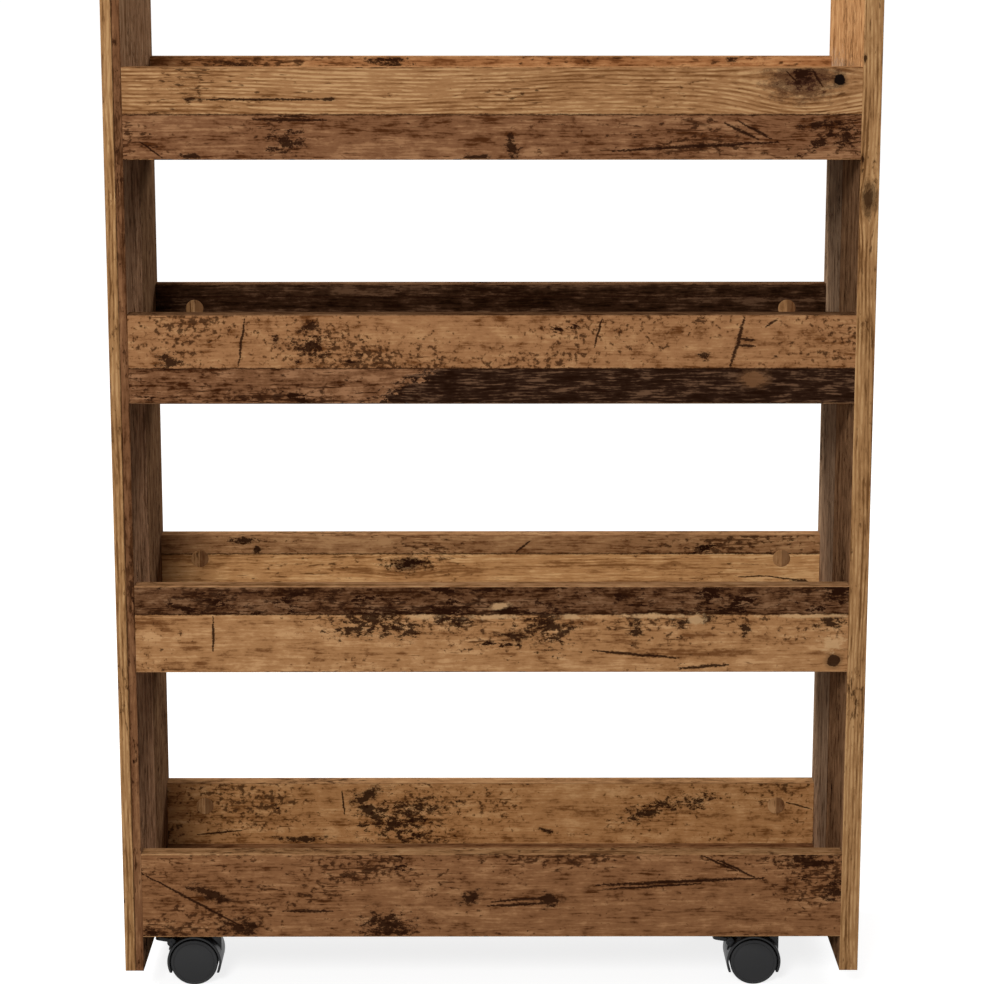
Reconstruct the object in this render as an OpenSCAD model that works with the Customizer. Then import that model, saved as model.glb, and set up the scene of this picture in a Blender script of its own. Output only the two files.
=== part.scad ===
// Slim four-tier storage trolley: two side panels, four railed trays and four twin-wheel casters.
// Millimetres, Z up, front towards -Y, origin on the floor under the middle of the trolley.

/* [Side panels] */
// Width over both side panels
overall_w = 600; // [500:5:720]
// Depth of the side panels
overall_d = 200; // [192:2:260]
// Thickness of the side panels
panel_t = 15; // [14:0.5:18]
// Height of the side panels' lower ends above the floor
panel_floor_gap = 22.5; // [15:0.5:30]
// Height of the side panels above the top tray's rails
top_rise = 103.5; // [60:0.5:200]
// Thickness of the edge bands
band_t = 0.8; // [0.5:0.1:1.2]
// Radius on the outer edges of the edge bands
band_r = 0.4; // [0.2:0.1:0.5]

/* [Trays] */
// Height of the front and back rails
rail_h = 71; // [60:1:90]
// Thickness of the rails
rail_t = 15; // [15:0.5:18]
// Set-back of the rails from the side panels' front and back edges
rail_setback = 0.5; // [0:0.1:2]
// Thickness of the shelves
shelf_t = 15; // [14:0.5:18]
// Height from the first tray to the second
pitch_1 = 224; // [180:1:280]
// Height from the second tray to the third
pitch_2 = 218.5; // [180:0.5:280]
// Height from the third tray to the fourth
pitch_3 = 191.5; // [160:0.5:260]

/* [Board fittings] */
// Diameter of the cam locks' pockets
cam_d = 15; // [14:0.5:16]
// Depth of the cam locks' pockets
cam_depth = 12.5; // [12:0.1:13]
// Distance from a rail's end to its cam lock
cam_edge = 33; // [28:1:40]
// Distance from a rail's top to its cam lock
cam_drop = 21; // [16:1:26]
// Height by which a cam lock's cap stands proud of the rail
cap_proud = 0.5; // [0.3:0.1:0.8]
// Diameter of the cam bolts' thread
bolt_thread_d = 6; // [5:0.5:7]
// Length of the cam bolts' thread
bolt_thread_len = 11; // [8:0.5:12]
// Diameter of the cam bolts' shaft
bolt_shaft_d = 6.4; // [5.6:0.2:7]
// Diameter of the hardwood dowels
dowel_d = 8; // [6:0.5:9]
// Length of the dowels
dowel_len = 30; // [25:1:35]
// Depth of the dowels in the piece that they cross the thickness of
dowel_sink = 10; // [8:0.5:12]
// Height of the rails' end dowels above the rails' lower edges
rail_dowel_z = 16; // [12:1:20]
// Distance of the shelves' end dowels from the middle of the shelf
shelf_dowel_y = 50; // [30:1:60]
// Distance of the dowels between shelf and rail from the middle of the trolley
tray_dowel_x = 160; // [100:5:180]

/* [Casters] */
// Diameter of the wheels
wheel_d = 39; // [38:0.5:41]
// Width of each wheel
wheel_w = 12; // [11:0.5:14]
// Height from the top of the wheels to the plate's upper face
neck_h = 12.5; // [12:0.5:18]
// Horizontal distance from the swivel axis back to the axle
trail = 14.5; // [13:0.5:17]
// Distance from a side panel's inner face to the swivel axis
caster_inset_x = 53; // [50:1:70]
// Distance from the side panel's front or back edge to the swivel axis
caster_inset_y = 43; // [40:1:48]
// Thickness of the web between the wheels
web_t = 11; // [10.5:0.5:14]
// Wall of the hood
hood_wall = 1.8; // [1.4:0.1:2.2]
// Gap between the wheels' tread and the hood
hood_gap = 1.1; // [0.8:0.1:1.4]
// Height of the hood's lower lips above the floor
lip_z = 10.5; // [8:0.5:13]
// Width of the square mounting plate
plate_w = 42; // [40:1:46]
// Thickness of the mounting plate
plate_t = 2.5; // [2.4:0.1:3]
// Distance between the plate's screw holes
screw_pitch = 31; // [30:0.5:33]
// Diameter of the screws' shank
screw_d = 3.5; // [3:0.1:4]
// Length of the screws below the head
screw_len = 14; // [10:0.5:14]
// Diameter of the kingpin
kingpin_d = 7; // [6:0.2:8]
// Diameter of the axle
axle_d = 5; // [4:0.5:6]

/* [Brake] */
// Reach of the brake lever's pedal from its pin
pedal_len = 14; // [10:0.5:16]
// Width of the pedal
pedal_w = 16; // [12:0.5:18]
// Thickness of the pedal
pedal_t = 3; // [2:0.2:3.6]
// Upward slope of the pedal when the brake is off
pedal_rise = 9.5; // [6:0.5:12]
// Turn of the lever from off to on
brake_turn = 12; // [8:1:14]
// Diameter of the brake pin
brake_pin_d = 2.5; // [2:0.1:3]

/* [Hidden] */
$fn = 64;
eps = 0.01;

// Gaps: all round a glued or screwed piece, all round a turning piece, and past the end of a piece
fixed_gap = 0.03;
run_gap = 0.05;
end_gap = 0.5;

inner_w = overall_w - 2 * panel_t;
wheel_r = wheel_d / 2;
caster_h = wheel_d + neck_h;
tray_z = [
    caster_h,
    caster_h + pitch_1,
    caster_h + pitch_1 + pitch_2,
    caster_h + pitch_1 + pitch_2 + pitch_3
];
overall_h = tray_z[3] + rail_h + top_rise;
panel_h = overall_h - panel_floor_gap;
rail_y = overall_d / 2 - rail_setback;
rail_mid_y = rail_y - rail_t / 2;
shelf_d = 2 * (rail_y - rail_t);
cam_x = inner_w / 2 - cam_edge;
cam_z = rail_h - cam_drop;

// Cam lock, cap and bolt
cam_r = cam_d / 2 - fixed_gap;
cap_t = 1.3;
cap_round = 0.25;
cam_h = cam_depth - cap_t + cap_proud;
cross_w = 1.4;
cross_deep = 0.9;
neck_d = 3.2;
head_d = 6.4;
head_len = 3.4;
lock_gap = 0.3;
bolt_end = cam_edge - 0.6;
bolt_shaft_end = cam_edge - cam_d / 2 - end_gap;
thread_chamfer = 0.6;

dowel_chamfer = 0.8;

// Caster
axle_x = -trail;
hood_in_r = wheel_r + hood_gap;
hood_r = hood_in_r + hood_wall;
hood_round = 0.7;
wheel_side_gap = 0.5;
wheel_in_y = web_t / 2 + wheel_side_gap;
wheel_out_y = wheel_in_y + wheel_w;
disc_t = 1.8;
rim_t = 2.5;
tread_round = 1;
hub_r = axle_d / 2 + 3;
rib_t = 1.2;
rib_count = 6;
ring_groove_r = wheel_r - 3.2;
ring_groove_w = 0.8;
ring_groove_deep = 0.4;
cup_r = 10;
cup_drop = 1.2;
race_gap = 0.3;
flange_r = 12;
flange_t = 2;
flange_z = caster_h - plate_t - cup_drop - race_gap;
neck_r = 7.2;
neck_foot_z = wheel_r + 2;
web_boss_r = 7;
shoulder_x = 16;
pin_head_r = 6.6;
pin_head_t = 1.8;
pin_head_z = caster_h - pin_head_t - 0.2;
pin_tip_z = wheel_r + 10;
stem_x = inner_w / 2 - caster_inset_x;
stem_y = overall_d / 2 - caster_inset_y;
plate_round = 4;
screw_head_r = 3.2;
screw_head_t = 1.9;
screw_hole_r = screw_d / 2 + 0.4;

// Brake: the shoe's place when the brake is on is given round the axle, 0.3 mm off the tread
brake_gap = 0.3;
pivot_out = 1.95;
pivot_angle = 141.7;
pivot_x = axle_x + (hood_r + pivot_out) * cos(pivot_angle);
pivot_z = wheel_r + (hood_r + pivot_out) * sin(pivot_angle);
shoe_r = 1.2;
shoe_angle = 156;
shoe_x = axle_x + (wheel_r + brake_gap + shoe_r) * cos(shoe_angle) - pivot_x;
shoe_z = wheel_r + (wheel_r + brake_gap + shoe_r) * sin(shoe_angle) - pivot_z;
lever_hub_r = brake_pin_d / 2 + 1.75;
lever_half_w = 10;
ear_gap = 0.25;
ear_t = 2;
ear_r = lever_hub_r + 0.6;
notch_gap = 0.6;
pedal_round = 3;

// Repeats its children at both ends of the trolley
module both_ends() {
    children();
    mirror([1, 0, 0]) children();
}

// Repeats its children at the front and the back
module front_and_back() {
    children();
    mirror([0, 1, 0]) children();
}

// Repeats its children at each tray's height
module each_tray() {
    for (z = tray_z) translate([0, 0, z]) children();
}

// Cylinder along X, from x = 0
module along_x(r, len) {
    rotate([0, 90, 0]) cylinder(r = r, h = len);
}

// Cylinder along Y, from y = 0
module along_y(r, len) {
    rotate([-90, 0, 0]) cylinder(r = r, h = len);
}

// What a rounded corner at the origin leaves out of a section that lies towards -X and -Y
module corner_waste(r) {
    difference() {
        translate([-r, -r]) square([r + eps, r + eps]);
        translate([-r, -r]) circle(r = r);
    }
}

// Edge band's section: inner face on y = 0, outer face at y = band_t, corners rounded
module band_section(w) {
    difference() {
        translate([-w / 2, 0]) square([w, band_t]);
        for (m = [0, 1]) mirror([m, 0]) translate([w / 2, band_t]) corner_waste(band_r);
    }
}

// Hardwood dowel along X with chamfered ends, from x = 0
module dowel() {
    r = dowel_d / 2;
    rotate([0, 90, 0]) rotate_extrude() polygon([
        [0, 0], [r - dowel_chamfer, 0], [r, dowel_chamfer],
        [r, dowel_len - dowel_chamfer], [r - dowel_chamfer, dowel_len], [0, dowel_len]
    ]);
}

// Left side panel with its drillings for bolts and dowels
module side_panel() {
    face = -inner_w / 2;
    color("#9a6b3f") difference() {
        translate([-overall_w / 2, -overall_d / 2 + band_t, panel_floor_gap + band_t])
            cube([panel_t, overall_d - 2 * band_t, panel_h - 2 * band_t]);
        each_tray() front_and_back() {
            translate([face - bolt_thread_len - end_gap, -rail_mid_y, cam_z])
                along_x(bolt_thread_d / 2 + fixed_gap, bolt_thread_len + end_gap + eps);
            translate([face - dowel_sink - end_gap, -rail_mid_y, rail_dowel_z])
                along_x(dowel_d / 2 + fixed_gap, dowel_sink + end_gap + eps);
            translate([face - dowel_sink - end_gap, -shelf_dowel_y, shelf_t / 2])
                along_x(dowel_d / 2 + fixed_gap, dowel_sink + end_gap + eps);
        }
    }
}

// Bands on the four edges of the left side panel
module panel_bands() {
    mid_x = -overall_w / 2 + panel_t / 2;
    color("#a8794a") {
        front_and_back()
            translate([mid_x, -overall_d / 2 + band_t, panel_floor_gap])
                linear_extrude(panel_h) mirror([0, 1]) band_section(panel_t);
        translate([mid_x, overall_d / 2 - band_t, overall_h - band_t])
            rotate([90, 0, 0]) linear_extrude(overall_d - 2 * band_t) band_section(panel_t);
        translate([mid_x, overall_d / 2 - band_t, panel_floor_gap + band_t])
            rotate([90, 0, 0]) linear_extrude(overall_d - 2 * band_t)
                mirror([0, 1]) band_section(panel_t);
    }
}

// Bands on the upper and lower edges of a front rail, the rail's lower edge on z = 0
module rail_bands() {
    color("#a8794a") {
        translate([-inner_w / 2, -rail_mid_y, rail_h - band_t])
            rotate([90, 0, 90]) linear_extrude(inner_w) band_section(rail_t);
        translate([-inner_w / 2, -rail_mid_y, band_t])
            rotate([90, 0, 90]) linear_extrude(inner_w) mirror([0, 1]) band_section(rail_t);
    }
}

// Front rail with its drillings, lower edge on z = 0
module rail(tone) {
    color(tone) difference() {
        translate([-inner_w / 2, -rail_y, band_t]) cube([inner_w, rail_t, rail_h - 2 * band_t]);
        both_ends() {
            translate([-cam_x, -rail_y + rail_t - cam_depth, cam_z]) along_y(cam_d / 2, cam_depth + eps);
            translate([-inner_w / 2 - eps, -rail_mid_y, cam_z])
                along_x(bolt_shaft_d / 2 + run_gap, cam_edge);
            translate([-inner_w / 2 - eps, -rail_mid_y, rail_dowel_z])
                along_x(dowel_d / 2 + fixed_gap, dowel_len - dowel_sink + end_gap);
            translate([-tray_dowel_x, -rail_y + rail_t - dowel_sink - end_gap, shelf_t / 2])
                along_y(dowel_d / 2 + fixed_gap, dowel_sink + end_gap + eps);
        }
    }
}

// Places its children at one caster's swivel axis
module at_caster(x_side, y_side) {
    translate([x_side * stem_x, y_side * stem_y, 0]) children();
}

// Repeats its children at a plate's four screws
module at_screws() {
    for (x = [-1, 1], y = [-1, 1])
        translate([x * screw_pitch / 2, y * screw_pitch / 2, 0]) children();
}

// Shelf with its dowel holes, lower face on z = 0; the lowest one also has the casters' screw holes
module shelf(lowest) {
    color("#8a6038") difference() {
        translate([-inner_w / 2, -shelf_d / 2, 0]) cube([inner_w, shelf_d, shelf_t]);
        both_ends() front_and_back() {
            translate([-inner_w / 2 - eps, -shelf_dowel_y, shelf_t / 2])
                along_x(dowel_d / 2 + fixed_gap, dowel_len - dowel_sink + end_gap);
            translate([-tray_dowel_x, -shelf_d / 2 - eps, shelf_t / 2])
                along_y(dowel_d / 2 + fixed_gap, dowel_len - dowel_sink + end_gap);
        }
        if (lowest)
            for (x = [-1, 1], y = [-1, 1])
                at_caster(x, y) at_screws() translate([0, 0, -eps])
                    cylinder(r = screw_d / 2 + fixed_gap, h = screw_len - plate_t + end_gap);
    }
}

// Repeats its children at every rail's cam locks, the pocket's mouth on y = 0 and facing +Y
module at_cams() {
    each_tray() both_ends() front_and_back() translate([-cam_x, -rail_y + rail_t, cam_z]) children();
}

// Cam lock: round body with a slot for the bolt's neck, room for its head and a cross for the driver
module cam_lock() {
    bolt_y = -rail_t / 2;
    slot = neck_d + 2 * lock_gap;
    room = head_d + 2 * lock_gap;
    face_y = -cam_depth + cam_h;
    color("#c5c7c9") difference() {
        translate([0, -cam_depth, 0]) along_y(cam_r, cam_h);
        translate([-cam_d, bolt_y - slot / 2, -slot / 2]) cube([cam_d, slot, slot]);
        translate([-head_len - 1, bolt_y - room / 2, -room / 2]) cube([head_len + 2, room, room]);
        for (turn = [0, 90]) rotate([0, turn, 0])
            translate([-cam_r * 0.6, face_y - cross_deep, -cross_w / 2])
                cube([cam_r * 1.2, cross_deep + eps, cross_w]);
    }
}

// Cap over a cam lock
module cam_cap() {
    color("#86603a") translate([0, -cap_t + cap_proud, 0]) rotate([-90, 0, 0]) rotate_extrude()
        difference() {
            square([cam_r, cap_t]);
            translate([cam_r, cap_t]) corner_waste(cap_round);
        }
}

// Cam bolt along X: thread in the side panel, shaft and head in the rail, the panel's face on x = 0
module cam_bolt() {
    thread_r = bolt_thread_d / 2;
    shaft_r = bolt_shaft_d / 2;
    bolt_head_r = head_d / 2;
    bolt_neck_r = neck_d / 2;
    color("#c5c7c9") rotate([0, 90, 0]) rotate_extrude() polygon([
        [0, -bolt_thread_len], [thread_r - thread_chamfer, -bolt_thread_len],
        [thread_r, -bolt_thread_len + thread_chamfer], [thread_r, 0],
        [shaft_r, 0], [shaft_r, bolt_shaft_end], [bolt_neck_r, bolt_shaft_end + 0.4],
        [bolt_neck_r, bolt_end - head_len], [bolt_head_r, bolt_end - head_len + 0.8],
        [bolt_head_r, bolt_end - 0.6], [bolt_head_r - 0.6, bolt_end], [0, bolt_end]
    ]);
}

// Wood screw up through a caster's plate into the lowest shelf, on its own axis
module caster_screw() {
    r = screw_d / 2;
    under_z = caster_h - plate_t;
    head_z = under_z - screw_head_t;
    tip_z = under_z + screw_len;
    color("#8f9296") difference() {
        rotate_extrude() polygon([
            [0, head_z], [screw_head_r - 0.9, head_z], [screw_head_r, head_z + 0.9],
            [screw_head_r, under_z], [r, under_z], [r, tip_z - 2.5], [0.4, tip_z], [0, tip_z]
        ]);
        for (turn = [0, 90]) rotate([0, 0, turn])
            translate([-1.7, -0.4, head_z - eps]) cube([3.4, 0.8, 1]);
    }
}

// Square mounting plate with a pressed cup round the kingpin and four screw holes
module caster_plate() {
    half = plate_w / 2 - plate_round;
    under_z = caster_h - plate_t;
    color("#3a3c3e") difference() {
        union() {
            translate([0, 0, under_z]) linear_extrude(plate_t) {
                square([plate_w, 2 * half], center = true);
                square([2 * half, plate_w], center = true);
                for (x = [-1, 1], y = [-1, 1]) translate([x * half, y * half]) circle(r = plate_round);
            }
            translate([0, 0, under_z - cup_drop]) cylinder(r1 = cup_r - 1, r2 = cup_r, h = cup_drop + eps);
        }
        translate([0, 0, pin_head_z]) cylinder(r = pin_head_r + fixed_gap, h = plate_t);
        translate([0, 0, flange_z]) cylinder(r = kingpin_d / 2 + fixed_gap, h = caster_h - flange_z);
        at_screws() translate([0, 0, under_z - 1]) cylinder(r = screw_hole_r, h = plate_t + 2);
    }
}

// Kingpin: head riveted in the plate, shaft with a snap groove down into the hood
module kingpin() {
    r = kingpin_d / 2;
    groove_z = pin_tip_z + 2.5;
    color("#b9bcc0") rotate_extrude() polygon([
        [0, pin_tip_z], [r - 0.8, pin_tip_z], [r, pin_tip_z + 0.8],
        [r, groove_z], [r - 0.5, groove_z], [r - 0.5, groove_z + 1.2], [r, groove_z + 1.2],
        [r, pin_head_z], [pin_head_r, pin_head_z],
        [pin_head_r, pin_head_z + pin_head_t], [0, pin_head_z + pin_head_t]
    ]);
}

// Hood's shell round the wheels, about its own axis
module hood_shell() {
    rotate([-90, 0, 0]) rotate_extrude() difference() {
        translate([hood_in_r, -wheel_out_y]) square([hood_wall, 2 * wheel_out_y]);
        for (m = [0, 1]) mirror([0, m]) translate([hood_r, wheel_out_y]) corner_waste(hood_round);
    }
}

// Side view of the web between the wheels, from the axle's boss up to the swivel race
module web_section() {
    translate([axle_x, wheel_r]) {
        circle(r = web_boss_r);
        intersection() {
            circle(r = hood_in_r + hood_wall / 2);
            translate([-hood_r, 0]) square([2 * hood_r, hood_r]);
        }
    }
    polygon([
        [axle_x, wheel_r], [neck_r, neck_foot_z + 4], [neck_r, flange_z - flange_t],
        [-neck_r, flange_z - flange_t], [-shoulder_x, wheel_r + hood_r - hood_wall]
    ]);
}

// Hood: shell, web and neck, with ears and a notch for the brake lever where it has one
module hood(braked) {
    notch_x = pivot_x + shoe_x + shoe_r + notch_gap;
    notch_z = pivot_z + shoe_z - shoe_r - notch_gap;
    half_w = lever_half_w + ear_gap;
    color("#2a2b2d") difference() {
        union() {
            translate([axle_x, 0, wheel_r]) hood_shell();
            translate([0, web_t / 2, 0]) rotate([90, 0, 0]) linear_extrude(web_t) web_section();
            difference() {
                translate([0, 0, neck_foot_z]) cylinder(r = neck_r, h = flange_z - neck_foot_z);
                for (m = [0, 1]) mirror([0, m, 0])
                    translate([axle_x, web_t / 2, wheel_r]) along_y(hood_in_r + eps, wheel_w);
            }
            translate([0, 0, flange_z - flange_t])
                cylinder(r1 = flange_r - 0.8, r2 = flange_r, h = flange_t);
            if (braked)
                for (m = [0, 1]) mirror([0, m, 0])
                    translate([pivot_x, half_w, pivot_z]) along_y(ear_r, ear_t);
        }
        translate([axle_x - 2 * hood_r, -hood_r, lip_z - hood_r]) cube([4 * hood_r, 2 * hood_r, hood_r]);
        translate([0, 0, pin_tip_z - 0.3]) cylinder(r = kingpin_d / 2 + run_gap, h = caster_h);
        translate([axle_x, -web_t, wheel_r]) along_y(axle_d / 2 + fixed_gap, 2 * web_t);
        if (braked) {
            translate([pivot_x, -half_w, pivot_z]) along_y(lever_hub_r + notch_gap, 2 * half_w);
            translate([notch_x - hood_r, -half_w, notch_z]) cube([hood_r, 2 * half_w, hood_r]);
            translate([pivot_x, -hood_r, pivot_z]) along_y(brake_pin_d / 2 + fixed_gap, 2 * hood_r);
        }
    }
}

// Axle through the web, its ends in the wheels' hubs
module axle() {
    half = wheel_out_y - disc_t - end_gap;
    color("#b9bcc0") translate([axle_x, -half, wheel_r]) along_y(axle_d / 2, 2 * half);
}

// Section of the wheel at the back of a caster: radius along X, inner side on y = 0
module wheel_section() {
    difference() {
        square([wheel_r, wheel_w]);
        translate([hub_r, -eps]) square([wheel_r - rim_t - hub_r, wheel_w - disc_t + eps]);
        translate([-eps, -eps]) square([axle_d / 2 + run_gap + eps, wheel_w - disc_t + eps]);
        translate([ring_groove_r, wheel_w - ring_groove_deep]) square([ring_groove_w, 1]);
        translate([wheel_r, wheel_w]) corner_waste(tread_round);
        translate([wheel_r, 0]) mirror([0, 1]) corner_waste(tread_round);
    }
}

// Wheel at the back of a caster: closed disc outside, hub and ribs inside
module wheel() {
    color("#333436") translate([axle_x, wheel_in_y, wheel_r]) rotate([-90, 0, 0]) {
        rotate_extrude() wheel_section();
        for (i = [0:rib_count - 1]) rotate([0, 0, i * 360 / rib_count])
            translate([hub_r - 0.5, -rib_t / 2, wheel_w * 0.3])
                cube([wheel_r - rim_t - hub_r + 1, rib_t, wheel_w * 0.7 - disc_t + eps]);
    }
}

// Brake lever with the brake off: hub on its pin, shoe facing the treads, and a foot pedal
module brake_lever() {
    arm = norm([shoe_x, shoe_z]);
    color("#232425") translate([pivot_x, 0, pivot_z]) difference() {
        union() {
            translate([0, -lever_half_w, 0]) along_y(lever_hub_r, 2 * lever_half_w);
            rotate([0, brake_turn + atan2(-shoe_z, shoe_x), 0]) {
                translate([arm, -lever_half_w, 0]) along_y(shoe_r, 2 * lever_half_w);
                translate([0, -lever_half_w, -shoe_r]) cube([arm, 2 * lever_half_w, 2 * shoe_r]);
            }
            rotate([0, pedal_rise, 0]) translate([0, 0, -pedal_t / 2]) linear_extrude(pedal_t) {
                translate([-pedal_len + pedal_round, -pedal_w / 2])
                    square([pedal_len - pedal_round, pedal_w]);
                translate([-pedal_len, -pedal_w / 2 + pedal_round])
                    square([pedal_len, pedal_w - 2 * pedal_round]);
                for (m = [0, 1]) mirror([0, m])
                    translate([-pedal_len + pedal_round, pedal_w / 2 - pedal_round])
                        circle(r = pedal_round);
            }
        }
        translate([0, -lever_half_w - 1, 0]) along_y(brake_pin_d / 2 + run_gap, 2 * lever_half_w + 2);
    }
}

// Brake pin in the hood's two ears
module brake_pin() {
    half = lever_half_w + ear_gap + ear_t;
    color("#b9bcc0") translate([pivot_x, -half, pivot_z]) along_y(brake_pin_d / 2, 2 * half);
}

// One piece of a caster in its place; the outer wheel is the one nearer the trolley's front or back
module caster_piece(piece, x_side, y_side) {
    at_caster(x_side, y_side) {
        if (piece == "plate") caster_plate();
        if (piece == "kingpin") kingpin();
        if (piece == "hood") hood(y_side < 0);
        if (piece == "axle") axle();
        if (piece == "wheel_outer") mirror([0, y_side < 0 ? 1 : 0, 0]) wheel();
        if (piece == "wheel_inner") mirror([0, y_side < 0 ? 0 : 1, 0]) wheel();
        if (piece == "brake_lever") brake_lever();
        if (piece == "brake_pin") brake_pin();
    }
}

side_panel();  // side_panel_left
mirror([1, 0, 0]) side_panel();  // side_panel_right
both_ends() panel_bands();  // panel_edge_bands
each_tray() front_and_back() rail_bands();  // rail_edge_bands

for (i = [0:3]) translate([0, 0, tray_z[i]]) {
    rail("#92643c");
    mirror([0, 1, 0]) rail("#7d5432");
    shelf(i == 0);
}

at_cams() cam_lock();  // cam_locks
at_cams() cam_cap();  // cam_caps
each_tray() both_ends() front_and_back()  // cam_bolts
        translate([-inner_w / 2, -rail_mid_y, cam_z]) cam_bolt();
color("#d8bd8c") each_tray() both_ends() front_and_back()  // rail_end_dowels
        translate([-inner_w / 2 - dowel_sink, -rail_mid_y, rail_dowel_z]) dowel();
color("#d8bd8c") each_tray() both_ends() front_and_back()  // shelf_end_dowels
        translate([-inner_w / 2 - dowel_sink, -shelf_dowel_y, shelf_t / 2]) dowel();
color("#d8bd8c") each_tray() both_ends() front_and_back()  // tray_dowels
        translate([-tray_dowel_x, -shelf_d / 2 - dowel_sink, shelf_t / 2]) rotate([0, 0, 90]) dowel();
for (x = [-1, 1], y = [-1, 1]) at_caster(x, y) at_screws() caster_screw();  // caster_screws

for (x = [-1, 1], y = [-1, 1]) {
    corner = str(y < 0 ? "front" : "back", "_", x < 0 ? "left" : "right", "_");
    for (piece = ["plate", "kingpin", "hood", "axle", "wheel_outer", "wheel_inner"])
        caster_piece(piece, x, y);
    if (y < 0)
        for (piece = ["brake_lever", "brake_pin"])
            caster_piece(piece, x, y);
}
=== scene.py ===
"""Looks of the slim storage trolley: old-wood print on boards, black moulded casters, soft studio light."""

import math

import bmesh
import bpy
from mathutils import Matrix, Vector


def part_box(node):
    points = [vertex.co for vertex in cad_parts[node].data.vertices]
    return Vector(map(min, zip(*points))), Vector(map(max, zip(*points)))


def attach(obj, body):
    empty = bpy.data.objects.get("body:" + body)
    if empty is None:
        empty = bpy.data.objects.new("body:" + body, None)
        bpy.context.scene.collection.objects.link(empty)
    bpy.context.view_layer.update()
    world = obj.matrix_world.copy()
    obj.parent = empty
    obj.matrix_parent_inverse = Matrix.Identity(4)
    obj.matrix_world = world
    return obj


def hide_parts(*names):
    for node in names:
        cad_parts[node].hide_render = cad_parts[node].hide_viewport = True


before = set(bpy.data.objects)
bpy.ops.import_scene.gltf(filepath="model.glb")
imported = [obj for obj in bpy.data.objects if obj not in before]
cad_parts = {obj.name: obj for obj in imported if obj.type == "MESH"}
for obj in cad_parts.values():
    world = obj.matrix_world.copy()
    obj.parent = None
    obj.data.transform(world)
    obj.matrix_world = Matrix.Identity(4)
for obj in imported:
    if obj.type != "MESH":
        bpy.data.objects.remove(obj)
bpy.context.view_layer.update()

MM = 0.001
X, Y, Z = 0, 1, 2
ORIGIN = (0.0, 0.0, 0.0)
WHITE = (1.0, 1.0, 1.0, 1.0)
CORNERS = ("front_left", "front_right", "back_left", "back_right")


def add_object(name, data):
    """New object of the scene."""
    added = bpy.data.objects.new(name, data)
    bpy.context.scene.collection.objects.link(added)
    return added


def mesh_of(shape, name):
    """Mesh with the shape of a bmesh, which is freed."""
    mesh = bpy.data.meshes.new(name)
    shape.to_mesh(mesh)
    shape.free()
    return mesh


# Camera

CAMERA_PLACE = (-0.0111, -2.153, 0.8572)
CAMERA_PITCH_DEG = -10.87
CAMERA_TURN_DEG = -0.16
CAMERA_LENS_MM = 97.0
CAMERA_SENSOR_MM = 36.0
CAMERA_SHIFT = (0.0070, -0.0500)
CAMERA_CLIP = (0.05, 200.0)


def make_camera():
    data = bpy.data.cameras.new("camera")
    data.sensor_width = CAMERA_SENSOR_MM
    data.lens = CAMERA_LENS_MM
    data.shift_x, data.shift_y = CAMERA_SHIFT
    data.clip_start, data.clip_end = CAMERA_CLIP
    camera = add_object("camera", data)
    camera.location = CAMERA_PLACE
    camera.rotation_euler = (math.radians(90.0 + CAMERA_PITCH_DEG), 0.0, math.radians(CAMERA_TURN_DEG))
    bpy.context.scene.camera = camera


# Shader helpers

ONE_OCTAVE_SPREAD = 0.14


def tone(red, green, blue):
    """Linear colour of a screen colour given from 0 to 255."""

    def linear(value):
        share = value / 255.0
        return share / 12.92 if share <= 0.04045 else ((share + 0.055) / 1.055) ** 2.4

    return (linear(red), linear(green), linear(blue), 1.0)


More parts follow.
